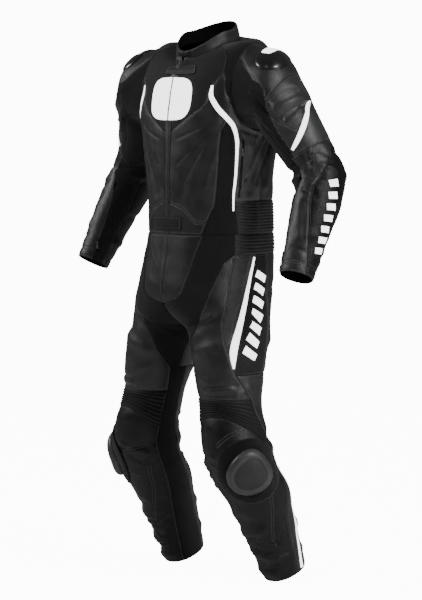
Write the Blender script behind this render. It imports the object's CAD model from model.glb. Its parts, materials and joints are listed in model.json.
# %% [markdown]
# # A two-piece motorcycle race suit
# A race suit is cut from cowhide and stretch cloth, and sewn so that it stands in a riding pose
# even when nobody wears it. This lesson builds it in three steps: smooth surfaces that give the
# body of the suit, panels cut from those surfaces along the real seams, and finishes for leather,
# stretch cloth, hard plastic and metal.
#
# The first cell loads the fixed frame: the solids that the finished pieces replace.

import json
import math
from functools import partial

import bpy
import mathutils
import numpy as np
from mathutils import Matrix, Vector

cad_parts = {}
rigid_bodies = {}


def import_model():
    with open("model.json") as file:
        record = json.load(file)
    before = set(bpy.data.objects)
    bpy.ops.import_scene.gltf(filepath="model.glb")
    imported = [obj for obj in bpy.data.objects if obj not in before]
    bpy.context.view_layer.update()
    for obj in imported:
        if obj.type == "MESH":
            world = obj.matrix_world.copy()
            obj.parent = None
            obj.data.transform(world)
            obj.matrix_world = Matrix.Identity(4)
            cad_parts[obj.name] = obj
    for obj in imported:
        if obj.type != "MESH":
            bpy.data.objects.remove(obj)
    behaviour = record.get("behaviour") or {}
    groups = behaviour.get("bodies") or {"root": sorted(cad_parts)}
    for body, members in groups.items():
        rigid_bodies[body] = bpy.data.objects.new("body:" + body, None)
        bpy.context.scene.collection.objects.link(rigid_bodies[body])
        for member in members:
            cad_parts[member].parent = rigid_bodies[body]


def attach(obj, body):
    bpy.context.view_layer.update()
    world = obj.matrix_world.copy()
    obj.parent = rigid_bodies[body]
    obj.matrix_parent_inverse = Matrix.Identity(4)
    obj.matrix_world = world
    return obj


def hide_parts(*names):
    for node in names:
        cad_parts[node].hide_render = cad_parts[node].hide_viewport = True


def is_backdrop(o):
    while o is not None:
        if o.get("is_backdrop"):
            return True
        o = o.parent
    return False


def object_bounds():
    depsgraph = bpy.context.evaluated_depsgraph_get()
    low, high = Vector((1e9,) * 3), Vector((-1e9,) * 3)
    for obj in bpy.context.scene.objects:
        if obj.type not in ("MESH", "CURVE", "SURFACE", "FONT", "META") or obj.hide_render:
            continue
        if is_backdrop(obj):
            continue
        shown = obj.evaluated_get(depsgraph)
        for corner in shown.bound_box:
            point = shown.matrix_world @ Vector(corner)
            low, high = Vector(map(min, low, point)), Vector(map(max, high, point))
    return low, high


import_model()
cad_low, cad_high = (list(map(float, c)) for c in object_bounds())
print("CAD box:", [round(v, 3) for v in cad_low], [round(v, 3) for v in cad_high])

# %% [markdown]
# ## The section tables
# A pattern maker measures a garment as girths at set heights. The tables below do the same: each
# row is one section, `t` is the tape length along the piece in millimetres, and the other columns
# are half widths, depths and centres there. One smooth curve through each column gives every
# section in between, which is easier to change than a net of free points.

# %% Tables of sections
def table(names, *rows):
    """Columns by name: row i, column name."""
    return {n: np.array([r[i] for r in rows], float) for i, n in enumerate(names.split())}


TORSO = table(
    "t z y half front back drop_f drop_b square",
    (0, -462, 0, 160, 150, 150, 0, 0, 2.2),
    (62, -400, 0, 160, 150, 147, 0, 0, 2.2),
    (142, -320, 0, 168, 150, 140, 0, 0, 2.2),
    (227, -235, 0, 186, 148, 138, 0, 0, 2.3),
    (297, -165, 0, 198, 144, 138, 0, 0, 2.4),
    (362, -100, 0, 200, 135, 138, 8, 0, 2.4),
    (422, -40, -2, 190, 121, 130, 20, 0, 2.4),
    (480, 14, -5, 160, 103, 108, 52, -4, 2.3),
    (560, 18, -10, 78, 86, 86, 45, -22, 2.0),
)
COLLAR = table(
    "t z y half front back drop_f drop_b square",
    (0, 18, -10, 78, 86, 86, 45, -22, 2.0),
    (20, 33, -11, 75, 82, 80, 45, -28, 2.0),
    (40, 48, -13, 73, 77, 74, 50, -27, 2.0),
)
SLEEVE = table(
    "t x y z lean across deep",
    (48, 234, -2, -108, 74, 97, 86),
    (98, 262, 8, -154, 55, 80, 80),
    (155, 284, 23, -200, 36, 69, 71),
    (225, 316, 40, -258, 28, 63, 65),
    (292, 345, 48, -311, 19, 63, 66),
    (352, 362, 26, -365, 9, 60, 62),
    (418, 372, -6, -425, 6, 54, 56),
    (492, 381, -41, -494, 7, 46, 48),
    (560, 388, -70, -555, 7, 42, 43),
)
PELVIS = table("t y half front back", (0, 0, 160, 150, 150), (75, -6, 174, 156, 147),
               (150, -18, 188, 158, 146))
LEG = table(
    "t x y half front back tilt",
    (235, 104, -37, 103.8, 104, 100, 0),
    (296, 128, -52, 90, 94, 92, 0),
    (365, 138, -62, 82, 84, 84, 0),
    (430, 150, -68, 75, 76, 78, 0),
    (485, 165, -70, 79, 84, 82, 0.02),
    (545, 176, -64, 84, 88, 80, 0.1),
    (595, 181, -42, 82, 86, 76, 0.22),
    (645, 185, -12, 76, 76, 76, 0.34),
    (710, 187, 14, 66, 64, 70, 0.42),
    (800, 190, 48, 58, 56, 60, 0.45),
    (875, 193, 78, 51, 50, 52, 0.45),
)
LEG_Z = table("t z", (0, -462.4), (75, -538), (150, -614), (235, -700), (296, -761), (365, -830),
              (430, -895), (485, -950), (545, -1010), (595, -1060), (645, -1108), (710, -1170),
              (800, -1250), (875, -1320))
ARM_U, ARM_T, ARM_WIDE, ARM_HIGH = 90.0, 370.0, 36.0, 108.0

# %% [markdown]
# ## Curves through the sections
# The curve through the rows is a cubic whose slope at each row comes from the parabola through
# that row and its two neighbours. It passes through every measured section and bends gently
# between them. The sections themselves are superellipses: an ellipse whose corners are a little
# fuller, as a body's cross-section is.

# %% Smooth curves and superellipse sections
def cubic(knots, values, t):
    """Hermite cubic through values at knots, read at t; values may have further axes."""
    h = np.diff(knots)
    d = np.diff(values, axis=0) / h.reshape((-1,) + (1,) * (values.ndim - 1))
    m = np.empty_like(values)
    m[0], m[-1] = d[0], d[-1]
    for i in range(1, len(knots) - 1):
        m[i] = (d[i - 1] * h[i] + d[i] * h[i - 1]) / (h[i] + h[i - 1])
    t = np.asarray(t, float)
    k = np.clip(np.searchsorted(knots, t, side="right") - 1, 0, len(knots) - 2)
    s = (t - knots[k]) / h[k]
    hk = h[k]
    where = ()
    if values.ndim > 1:
        where, s, hk = tuple(np.indices(k.shape)), s[..., None], hk[..., None]
    read = lambda a, i: a[(i, *where)]
    s2, s3 = s * s, s * s * s
    return ((2 * s3 - 3 * s2 + 1) * read(values, k) + (s3 - 2 * s2 + s) * hk * read(m, k)
            + (3 * s2 - 2 * s3) * read(values, k + 1) + (s3 - s2) * hk * read(m, k + 1))


def column(tb, name, t):
    """One column of a table, read at any t."""
    return cubic(tb["t"], tb[name], t)


def power(v, n):
    """Signed power 2/n: n = 2 is a circle's sine, a larger n is fuller at the corners."""
    return np.sign(v) * np.abs(v) ** (2.0 / n)


def ring(tb, u, t):
    """x = half * sin u and y = centre - depth * cos u, both as superellipse. z sinks at the front
    and at the back."""
    u, t = np.broadcast_arrays(np.radians(u), np.asarray(t, float))
    s, c, n = np.sin(u), np.cos(u), column(tb, "square", t)
    deep = np.where(c > 0, column(tb, "front", t), column(tb, "back", t))
    drop = (column(tb, "drop_f", t) * np.maximum(c, 0) ** 1.5
            + column(tb, "drop_b", t) * np.maximum(-c, 0) ** 1.5)
    x, y = column(tb, "half", t) * power(s, n), column(tb, "y", t) - deep * power(c, n)
    return np.stack([x, y, column(tb, "z", t) - drop], -1)


def torso(u, t):
    """The ring of the torso's table: u 0 is the front, 90 the wearer's left."""
    return ring(TORSO, u, t)


def collar(u, t):
    """The ring of the collar's table, which starts where the torso ends."""
    return ring(COLLAR, u, t)


def armhole(u):
    """The sleeve's first section: an oval drawn on the torso, u degrees round it from the front."""
    a = np.radians(u)
    return torso(ARM_U - ARM_WIDE * np.cos(a), ARM_T + ARM_HIGH * np.sin(a))


# %% [markdown]
# ## Sleeves and legs
# A sleeve starts exactly on the armhole and passes through ovals set square to the arm. A trouser
# leg starts as half of the pelvis ring, and closes into a ring of its own at the crotch, so that
# the two legs meet along one centre seam.

# %% Sleeve and leg surfaces
def sleeve(u, t):
    """Ovals centre + front * deep * cos u + out * across * sin u, joined along t by the cubic."""
    u, t = np.broadcast_arrays(np.asarray(u, float), np.asarray(t, float))
    k = SLEEVE["t"]
    centre, after, before = (np.stack([column(SLEEVE, n, k + e) for n in "xyz"], -1)
                             for e in (0, 1, -1))
    lean = np.radians(SLEEVE["lean"])
    out = np.stack([np.cos(lean), 0 * lean, np.sin(lean)], -1)
    front = np.cross(out, after - before)
    front /= np.linalg.norm(front, axis=-1, keepdims=True)
    front *= -np.sign(front[:, 1:2])
    a = np.radians(u)
    rows = [armhole(u)]
    for i in range(len(k)):
        rows.append(centre[i] + front[i] * (SLEEVE["deep"][i] * np.cos(a))[..., None]
                    + out[i] * (SLEEVE["across"][i] * np.sin(a))[..., None])
    return cubic(np.concatenate([[0.0], k]), np.stack(rows), t)


def even_quarter(x, reach):
    """The quarter circle sqrt(1 - x * x), averaged over x - reach to x + reach, so that it ends in
    a soft bend. The average comes from its area (x * sqrt(1 - x * x) + asin(x)) / 2."""
    def area(v):
        c = np.clip(v, 0, 1)
        return np.minimum(v, 0) + (c * np.sqrt(1 - c * c) + np.arcsin(c)) / 2
    return (area(x + reach) - area(x - reach)) / (2 * reach)


CROTCH, BLEND_FROM, BLEND_LONG = 235, 110, 125  # mm of tape: the leg's first ring, and its blend
HIP_SQUARE, LEG_SQUARE = 2.2, 2.15


def leg(u, t):
    """u: 0 inside, 90 front, 180 outside, 270 back. The point is w * pelvis + (1 - w) * leg, and w
    falls from 1 to 0 as a softened quarter circle."""
    u, t = np.broadcast_arrays(np.asarray(u, float), np.asarray(t, float))
    half, full = np.radians(u / 2), np.radians(u)
    p, q = np.minimum(t, CROTCH), np.maximum(t, CROTCH)
    c, s = np.cos(half), np.sin(full)
    hip_deep = np.where(c > 0, column(PELVIS, "front", p), column(PELVIS, "back", p))
    px = column(PELVIS, "half", p) * power(np.sin(half), HIP_SQUARE)
    py = column(PELVIS, "y", p) - hip_deep * power(c, HIP_SQUARE)
    deep = np.where(s > 0, column(LEG, "front", q), column(LEG, "back", q)) * power(s, LEG_SQUARE)
    lx = column(LEG, "x", q) + column(LEG, "half", q) * power(-np.cos(full), LEG_SQUARE)
    w = even_quarter((t - BLEND_FROM) / BLEND_LONG, 0.08 + 0.4 * np.sin(half) ** 2)
    return np.stack([w * px + (1 - w) * np.maximum(lx, 0.3),
                     w * py + (1 - w) * (column(LEG, "y", q) - deep),
                     column(LEG_Z, "z", t) - (1 - w) * column(LEG, "tilt", q) * deep], -1)


def both_legs(turn):
    """One run of u over both legs: minus is the wearer's right. turn 360 starts at centre back."""
    def surface(u, t):
        u = np.asarray(u, float)
        p = leg(turn - np.abs(u) if turn else np.abs(u), t)
        flip = np.where(u < 0, -1.0, 1.0) + 0 * p[..., 0]
        return p * np.stack([flip, 1 + 0 * flip, 1 + 0 * flip], -1)
    return surface


leg_front, leg_back = both_legs(0), both_legs(360)
around_chest = np.diff(torso(np.arange(0, 361), 297.0), axis=0)
print("chest girth in mm:", round(float(np.linalg.norm(around_chest, axis=1).sum())))

# %% [markdown]
# ## Folds
# Leather keeps the folds of its pose: long drag lines from the armpit, creases inside the elbow
# and behind the knee, slack over the shins. Each fold is one line with a width and a height. Its
# cross-section is a bell curve, so ridges and troughs run out softly at their ends. The large ones
# are the same as the solids have; the small ones are added here, each a little different.

# %% Folds of the jacket
FOLD = "u0 t0 u1 t1 wide high scale"
TORSO_FOLDS = table(
    FOLD, (84, 258, 74, 120, 10, 6.5, 2.9), (95, 240, 84, 110, 10, -5, 2.9),
    (112, 262, 104, 120, 13, 6, 2.9), (14, 90, 30, 215, 15, -2.5, 2.8),
    (-14, 100, -28, 205, 15, -2.5, 2.8), (-84, 250, -75, 128, 14, 5, 2.9),
    (-96, 236, -86, 104, 13, -4, 2.9), (-113, 258, -106, 130, 15, 4.5, 2.9),
    (150, 150, 205, 138, 18, 4, 2.6), (160, 112, 200, 118, 14, -3, 2.6),
    # small creases
    (98, 262, 80, 150, 5, 3.4, 2.9), (104, 250, 92, 128, 5, -3.4, 2.9),
    (90, 244, 79, 138, 4.5, -3.0, 2.9), (118, 240, 112, 150, 6, -2.2, 2.9),
    (70, 262, 84, 250, 6, -2.6, 2.9), (66, 236, 80, 222, 7, 1.8, 2.9),
    (52, 300, 47, 262, 7, -2, 2.8), (44, 288, 54, 250, 6, 1.6, 2.8),
    (-58, 292, -50, 260, 7, -2, 2.8), (-98, 260, -82, 146, 5, 2.4, 2.9),
    (-106, 246, -94, 130, 5, -2.4, 2.9), (-72, 252, -86, 244, 6, -2.2, 2.9),
    (62, 330, 58, 292, 7, -1.8, 2.8), (128, 330, 140, 300, 9, -2, 2.7),
    (-130, 322, -142, 296, 9, -2.2, 2.7), (140, 240, 172, 214, 9, 2, 2.6),
    (216, 232, 190, 208, 9, 2.2, 2.6), (130, 180, 165, 168, 8, -2, 2.6),
    (225, 176, 200, 160, 8, -1.8, 2.6), (40, 120, 46, 200, 6, 1.2, 2.8),
    (-42, 130, -47, 190, 6, 1.3, 2.8),
    # grooves pressed into the front, and the creases of the armpits
    (9, 240, 33, 272, 3.2, -1.1, 2.5), (10, 174, 34, 248, 3.2, -1.1, 2.5),
    (12, 100, 33, 220, 3.2, -1.1, 2.5), (-9, 240, -33, 272, 3.2, -1.1, 2.5),
    (-10, 174, -34, 248, 3.2, -1.1, 2.5), (-12, 100, -33, 220, 3.2, -1.1, 2.5),
    (57, 322, 66, 278, 6, 3.4, 2.8), (53, 352, 63, 300, 6, -3.2, 2.8),
    (50, 392, 58, 344, 8, 2.2, 2.8), (-56, 326, -65, 282, 6, 2.4, 2.8),
    (-53, 356, -62, 304, 7, -2.2, 2.8), (-50, 388, -57, 340, 8, 2.4, 2.8),
)

# %% Folds of the sleeves
SLEEVE_FOLDS = table(
    FOLD, (24, 92, 84, 100, 14, 4, 1.3), (150, 110, 210, 124, 16, 4, 1.3),
    (300, 255, 350, 286, 12, -5, 1.1), (296, 300, 372, 322, 12, 5, 1.1),
    (310, 345, 360, 366, 11, -4, 1.1), (210, 320, 290, 300, 12, 4, 1.1),
    (30, 470, 110, 452, 10, 3, 0.9), (190, 480, 280, 500, 10, 3, 0.9),
    # small creases
    (24, 100, 92, 112, 4.5, -2.6, 1.3), (28, 112, 96, 124, 4.5, 2.2, 1.3),
    (26, 126, 80, 132, 4, -1.8, 1.3), (62, 150, 92, 128, 4, -2.2, 1.3),
    (56, 168, 80, 148, 4, 1.8, 1.3), (350, 62, 372, 110, 6, -2, 1.4),
    (352, 252, 396, 262, 4, -2.2, 1.1), (356, 268, 400, 282, 4, 2, 1.1),
    (20, 300, 60, 318, 5, -2, 1.1), (14, 330, 48, 352, 4.5, 2, 1.1),
    (10, 356, 50, 372, 4.5, -2, 1.1), (120, 252, 170, 240, 7, -2.4, 1.2),
    (130, 300, 190, 292, 8, 2.4, 1.1), (176, 130, 226, 142, 7, -2.2, 1.3),
    (180, 180, 236, 196, 7, 2.4, 1.2), (200, 400, 262, 420, 6, -2, 1.0),
    (150, 480, 196, 470, 6, 1.8, 0.9), (340, 440, 384, 470, 5, -2, 1.0),
    (330, 472, 372, 492, 5, 2, 0.9), (10, 500, 60, 508, 5, -1.8, 0.9),
    (100, 500, 150, 512, 5, 1.6, 0.8), (-6, 62, 14, 118, 7, -3.4, 1.4),
    (4, 40, 20, 96, 6, 2.6, 1.4), (-14, 92, 4, 150, 6, 2.4, 1.4), (34, 136, 84, 132, 5, -3.0, 1.3),
    (36, 146, 78, 150, 6, 2.2, 1.3), (22, 90, 84, 106, 3.6, -2.4, 1.3),
    (40, 226, 30, 300, 6, -2.6, 1.1), (58, 228, 84, 262, 6, -2.4, 1.1),
    (60, 286, 96, 300, 7, 2.4, 1.1), (18, 392, 40, 470, 7, -1.8, 1.0),
    (96, 380, 120, 420, 9, 1.8, 1.0),
)

# %% Folds of the legs
LEG_FOLDS = table(
    FOLD, (40, 250, 110, 205, 16, -4, 1.9), (60, 300, 130, 262, 14, 3.5, 1.7),
    (230, 262, 310, 300, 16, 5, 1.7), (225, 500, 330, 478, 14, -4, 1.5),
    (220, 528, 330, 540, 15, 4, 1.5), (240, 570, 320, 580, 14, -3.2, 1.5),
    (60, 735, 130, 722, 12, 4.5, 1.1), (70, 790, 140, 806, 12, 4.5, 1.0),
    (230, 760, 300, 742, 12, 4, 1.1), (240, 830, 310, 815, 11, 3.5, 1.0),
    (40, 690, 92, 664, 12, 3, 1.2), (88, 690, 132, 700, 11, -2.6, 1.2),
    (60, 846, 120, 856, 11, 3.6, 1.0), (76, 772, 128, 784, 9, -2.6, 1.0),
    (64, 822, 132, 838, 10, -3, 1.0),
    # small creases
    (92, 384, 140, 374, 6, 2.2, 1.5), (86, 396, 146, 392, 5, -2, 1.5),
    (40, 560, 90, 540, 7, 2.4, 1.4), (34, 590, 74, 566, 5, -2.4, 1.4),
    (44, 612, 84, 600, 5, 2, 1.3), (50, 716, 96, 704, 4.5, -2.2, 1.1),
    (60, 752, 112, 742, 4.5, -2.4, 1.1), (54, 768, 120, 764, 4.5, 2, 1.0),
    (64, 806, 116, 788, 4, -2.4, 1.0), (70, 822, 134, 822, 5, 2, 1.0),
    (96, 838, 150, 832, 4, -2, 1.0), (150, 730, 176, 712, 6, -2, 1.1),
    (60, 232, 100, 196, 6, -2, 1.9), (28, 262, 62, 236, 6, 1.8, 1.9),
    (150, 396, 176, 372, 6, 1.8, 1.5), (250, 486, 318, 470, 5, 2.4, 1.5),
    (236, 512, 312, 506, 5, -2.6, 1.5), (232, 552, 318, 560, 5, -2.2, 1.5),
    (240, 600, 300, 596, 6, 2.2, 1.4), (236, 300, 300, 330, 8, -2.6, 1.7),
    (250, 330, 320, 352, 8, 2.4, 1.6), (240, 720, 296, 704, 6, -2.2, 1.1),
    (236, 776, 300, 768, 5, -2.4, 1.0), (250, 846, 306, 838, 5, -2, 1.0),
    (200, 150, 262, 132, 12, -2, 1.5), (262, 200, 330, 228, 12, 2.4, 1.6),
    (300, 120, 350, 150, 12, 1.8, 1.4), (92, 741, 114, 765, 7, -3.6, 1.1),
    (114, 765, 150, 769, 7, -3.8, 1.1), (150, 769, 182, 738, 7, -3.4, 1.1),
    (100, 752, 150, 756, 7, 2.6, 1.1), (120, 800, 168, 806, 5, -3.2, 1.0),
    (44, 541, 92, 551, 5, -3.2, 1.4), (46, 725, 84, 749, 5, -3.4, 1.1),
    (54, 801, 92, 777, 5, -3.0, 1.0), (48, 807, 122, 825, 4.5, -2.8, 1.0),
    (28, 548, 58, 585, 5, 2.6, 1.4), (108, 376, 150, 366, 8, -2.4, 1.5),
    (60, 340, 96, 360, 9, 2.0, 1.5),
)

# the small creases of the shin are shallower
small_on_shin = (LEG_FOLDS["t0"] > 690) & (LEG_FOLDS["wide"] < 7.5)
LEG_FOLDS["high"] = np.where(small_on_shin, 0.6, 1.0) * LEG_FOLDS["high"]


# %% Heights of folds and waves
def to_line(u, t, u0, t0, u1, t1, scale):
    """Share 0..1 along the line from (u0, t0) to (u1, t1), both parts of the way to it and its
    length, in mm. scale is how many mm one degree of u is there."""
    bx, by = (u1 - u0) * scale, t1 - t0
    px, py = (u - u0) * scale, t - t0
    s = np.clip((px * bx + py * by) / (bx * bx + by * by), 0, 1)
    return s, px - s * bx, py - s * by, math.hypot(bx, by)


NARROW, GAIN_NARROW, GAIN_BROAD = 8.5, 1.35, 1.15  # mm, and how much more each kind is raised


def fold_height(folds, u, t):
    """Sum of bell curves of the distance to each fold's line, in millimetres. Narrow creases are
    deepened more than broad folds, as they are where leather buckles."""
    total = np.zeros(np.broadcast(u, t).shape)
    for u0, t0, u1, t1, wide, high, scale in zip(*(folds[n] for n in FOLD.split())):
        _, dx, dy, _ = to_line(u, t, u0, t0, u1, t1, scale)
        gain = GAIN_BROAD if wide > NARROW else GAIN_NARROW
        total += high * gain * np.exp(-(dx ** 2 + dy ** 2) / wide ** 2)
    return total


def slack(p):
    """Low uneven waves of the skin: a few sine waves in different directions, 1 mm high at most."""
    x, y, z = p[..., 0], p[..., 1], p[..., 2]
    return (0.45 * np.sin(x / 17 + z / 31 + 1.3) * np.sin(y / 23 - z / 19)
            + 0.35 * np.sin(z / 13 + x / 41) * np.cos(y / 29 + x / 15)
            + 0.25 * np.sin(z / 9.0 + y / 11 + 0.7))


# %% The six bodies
class Body:
    """A surface with its folds; facing makes the normal point out of the suit."""

    def __init__(self, point, folds, probe, wrap=None):
        self.point, self.folds, self.wrap, self.facing = point, folds, wrap, 1.0
        n, p = self.normal(*probe), point(*probe)
        self.facing = 1.0 if n[0] * p[0] > 0 else -1.0

    def normal(self, u, t):
        """Cross product of two short steps on the surface, 1.2 degrees and 2 mm, made 1 long."""
        du = self.point(u + 0.6, t) - self.point(u - 0.6, t)
        dt = self.point(u, t + 1.0) - self.point(u, t - 1.0)
        n = np.cross(du, dt) * self.facing
        return n / np.maximum(np.linalg.norm(n, axis=-1, keepdims=True), 1e-9)

    def fold(self, u, t):
        """Height of the folds in mm; wrap brings u into the range that the fold table uses."""
        if self.folds is None:
            return 0 * (u + t)
        return fold_height(self.folds, self.wrap(u) if self.wrap else u, t)


JACKET = Body(torso, TORSO_FOLDS, (60.0, 100.0), lambda u: np.where(u > 180, u - 360, u))
NECK = Body(collar, None, (60.0, 20.0))
ARM = Body(sleeve, SLEEVE_FOLDS, (90.0, 300.0))
LEGS = Body(leg, LEG_FOLDS, (180.0, 500.0))
FLY = Body(leg_front, LEG_FOLDS, (60.0, 100.0), np.abs)
SEAT = Body(leg_back, LEG_FOLDS, (60.0, 40.0), lambda u: 360 - np.abs(u))
print("folds:", sum(len(f["t0"]) for f in (TORSO_FOLDS, SLEEVE_FOLDS, LEG_FOLDS)))

# %% [markdown]
# ## Seams
# Every seam is one line in (t, u): a height on the tape and an angle round the body. Two panels
# that meet share the same line, so their borders meet however the panels are made. A seam in
# leather is a shallow valley, because the edges are turned in and sewn down.

# %% Seam lines
def line(*points):
    """Straight runs between (t, u) points, read at any t."""
    ts, us = np.array(points, float).T
    return lambda t: np.interp(t, ts, us)


ZIP_HALF = 2.3
YOKE_EDGE = line((258, 2.3), (262, 3.6), (288, 14), (320, 27), (334, 31), (364, 33), (392, 39),
                 (420, 48), (460, 53), (506, 57), (540, 66), (560, 70))
FRONT_EDGE = line((0, 37), (38, 43), (74, 50), (114, 51), (158, 51), (224, 49), (260, 49),
                  (278, 53), (293.7, 54))
STRIPE_EDGE = line((0, 74), (84, 70), (114, 67.5), (144, 68.5), (190, 66.5), (252, 62.5),
                   (274, 58.5), (293.7, 55.2), (317, 54.1), (342, 54.6), (370, 54))
SIDE_SEAM = line((0, 99), (84, 98), (178, 96), (262, 90))
UNDER_FRONT = line((0, 315), (60, 330), (120, 344), (150, 347), (215, 358), (280, 364), (320, 362),
                   (365, 346), (405, 332), (460, 322), (560, 318))
UNDER_REAR = line((0, 225), (66, 230), (120, 258), (244, 296), (342, 292), (424, 278), (560, 276))
ELBOW_EDGE = line((222, 121), (242, 96), (296, 60), (348, 34), (382, 32), (464, 52), (530, 74),
                  (560, 80))
FLY_EDGE = line((0, 77), (44, 64), (102, 50), (142, 42), (158, 30), (168, 12), (172, 3), (180, 0))
CROTCH_EDGE = line((0, 141), (50, 138), (70, 116), (106, 103), (142, 92), (192, 83), (232, 81),
                   (250, 74), (290, 52), (343, 18))
HIP_EDGE = line((0, 145), (50, 141), (120, 128), (210, 124), (278, 134), (343, 150))
SEAT_EDGE = line((0, 214), (50, 214), (200, 216), (343, 214))
KNEE_SIDE = line((343, 150), (404, 180), (513, 214))
INNER_FRONT = line((343, 18), (404, 14), (493, 14), (533, 20), (603, 18), (723, 28), (875, 40))
INNER_REAR = line((343, -14), (493, -22), (603, -24), (875, -30))
OUTER_EDGE = line((513, 214), (553, 224), (641, 217), (739, 189), (875, 180))


def loop(sign):
    """The armhole's front (minus) or rear (plus) half as u at t."""
    across = lambda t: np.sqrt(np.maximum(0, 1 - ((t - ARM_T) / ARM_HIGH) ** 2))
    return lambda t: ARM_U + sign * ARM_WIDE * across(t)


def run(seam, t0, t1):
    """A seam, or an angle, as a border: v in 0..1 gives (u, t) on it from t0 to t1."""
    def border(v):
        t = t0 + (t1 - t0) * np.asarray(v, float)
        return (seam(t) if callable(seam) else np.full_like(t, float(seam))), t
    return border


# %% [markdown]
# ## Cutting and sewing a panel
# A panel is a grid between two borders. Its points start on the body's surface and move along the
# normal: out for folds and ribs, in beside a seam. A second grid one wall further in closes it, so
# the leather has a real thickness and a lining. Two attributes go with the points for the
# materials: `edge` is the distance to the nearest border and `along` the distance along it, both
# in metres, which is all that a row of stitches needs.

# %% Grids
WALL, MM = 2.0, 0.001  # the leather with its lining, in mm, and a millimetre in metres
SEAM = "u0 t0 u1 t1 scale"
made = {}


BORDER = np.array((0.0, 1.6, 4.2))  # mm from a border, where a seam's valley needs rows
AFTER_BORDER, NARROW_STRIP = 7.5, 24


def spaced(length, step):
    """Shares 0..1 of a length in mm: close together at both borders, then every step mm."""
    if length < NARROW_STRIP:
        return np.linspace(0, 1, 7)
    inner = np.linspace(AFTER_BORDER, length - AFTER_BORDER, max(2, int(length / step)))
    return np.concatenate([BORDER, inner, length - BORDER[::-1]]) / length


def grid_uv(left, right, rows, cols, bend=None):
    """(u, t) on the grid: straight across from the left border to the right one, then bent."""
    ul, tl = left(rows)
    ur, tr = right(rows)
    s = cols[None, :]
    u = ul[:, None] * (1 - s) + ur[:, None] * s
    t = tl[:, None] * (1 - s) + tr[:, None] * s
    return u, t if bend is None else t + bend(s, rows[:, None])


def border_fields(p):
    """Distance to the nearest border and distance along that border, in mm, from arc lengths."""
    steps = lambda axis: np.linalg.norm(np.diff(p, axis=axis), axis=-1).cumsum(axis)
    across, down = np.pad(steps(1), ((0, 0), (1, 0))), np.pad(steps(0), ((1, 0), (0, 0)))
    side = np.minimum(across, across[:, -1:] - across)
    end = np.minimum(down, down[-1:, :] - down)
    return np.minimum(side, end), np.where(side < end, down, across)


def place(name, data):
    """An object at the origin, in the scene."""
    obj = bpy.data.objects.new(name, data)
    bpy.context.scene.collection.objects.link(obj)
    return obj


# %% Closed walls
def closed_sheet(name, outer, inner, edge, along, materials, side=1, patch=None):
    """Outer grid, inner grid and a rim between them, as one closed mesh with point attributes.
    patch is a mask on the grid: where it is true the outer face takes the third material."""
    n, m = outer.shape[:2]
    points = np.concatenate([outer.reshape(-1, 3), inner.reshape(-1, 3)]) * MM
    i, j = np.meshgrid(np.arange(n - 1), np.arange(m - 1), indexing="ij")
    a = (i * m + j).ravel()
    top = np.stack([a, a + 1, a + m + 1, a + m], 1)
    low = top[:, ::-1] + n * m
    k, q = np.arange(n - 1), np.arange(m - 1)
    rim = np.concatenate([np.stack([first, second, second + n * m, first + n * m], 1)
                          for first, second in ((k * m, (k + 1) * m),
                                                ((k + 1) * m + m - 1, k * m + m - 1), (q + 1, q),
                                                ((n - 1) * m + q, (n - 1) * m + q + 1))])
    faces = np.concatenate([top, low, rim])
    c0, c1, c2, c3 = (points[faces[:, corner]] for corner in range(4))
    if side * (c0 * (np.cross(c1, c2) + np.cross(c2, c3))).sum() < 0:
        faces = faces[:, ::-1]
    points = points * np.array([float(side), 1.0, 1.0])
    mesh = bpy.data.meshes.new(name)
    mesh.vertices.add(len(points))
    mesh.vertices.foreach_set("co", points.ravel())
    mesh.loops.add(faces.size)
    mesh.loops.foreach_set("vertex_index", faces.ravel())
    mesh.polygons.add(len(faces))
    mesh.polygons.foreach_set("loop_start", np.arange(0, faces.size, 4))
    mesh.update(calc_edges=True)
    for mat in materials:
        mesh.materials.append(mat)
    which = np.repeat([0, 1, 0], [len(top), len(low), len(rim)])
    if patch is not None:
        full = patch.astype(int)
        share = full[:-1, :-1] + full[1:, :-1] + full[:-1, 1:] + full[1:, 1:]
        which[:len(top)] = np.where(share.ravel() > 2, 2, 0)
    mesh.polygons.foreach_set("material_index", which if len(materials) > 1 else 0 * which)
    mesh.polygons.foreach_set("use_smooth", np.arange(len(faces)) < len(top) + len(low))
    for label, values in (("edge", edge), ("along", along)):
        attribute = mesh.attributes.new(label, "FLOAT", "POINT")
        attribute.data.foreach_set("value", np.tile(values.ravel() * MM, 2).astype(np.float32))
    mesh.validate()
    made[name] = place(name, mesh)
    return made[name]


# %% The size of a panel, and what it rides on
def area_of(p):
    """Area of a grid in square metres, from the two diagonals of each cell."""
    d1, d2 = p[1:, 1:] - p[:-1, :-1], p[1:, :-1] - p[:-1, 1:]
    return float(np.linalg.norm(np.cross(d1, d2), axis=-1).sum() / 2 * MM * MM)


def fit(obj, label, rides="suit", solid=True):
    """Puts a finished piece on its body and in its slot, and lets it stand for its solid."""
    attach(obj, rides)
    if solid:
        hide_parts(label)


# %% [markdown]
# The sewing itself: the border sinks by about a millimetre over the last few millimetres, and the
# panel between seams is slightly crowned, as padded leather is. Both sides of the suit are made by
# one call, and the small waves differ from left to right, because no two real sleeves fold alike.

# %% Panels
VALLEY, CROWN_REACH = 2.6, 14  # mm over which a seam sinks and a panel rises
PAIR = (1, -1)


def nearest_seam(seams, u, t, edge, along):
    """Lets seams inside a panel count as its border: distance to the line and the way along it."""
    for row in zip(*(seams[n] for n in SEAM.split())):
        share, dx, dy, length = to_line(u, t, *row)
        off = np.hypot(dx, dy)
        along = np.where(off < edge, share * length, along)
        edge = np.minimum(off, edge)
    return edge, along


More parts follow.
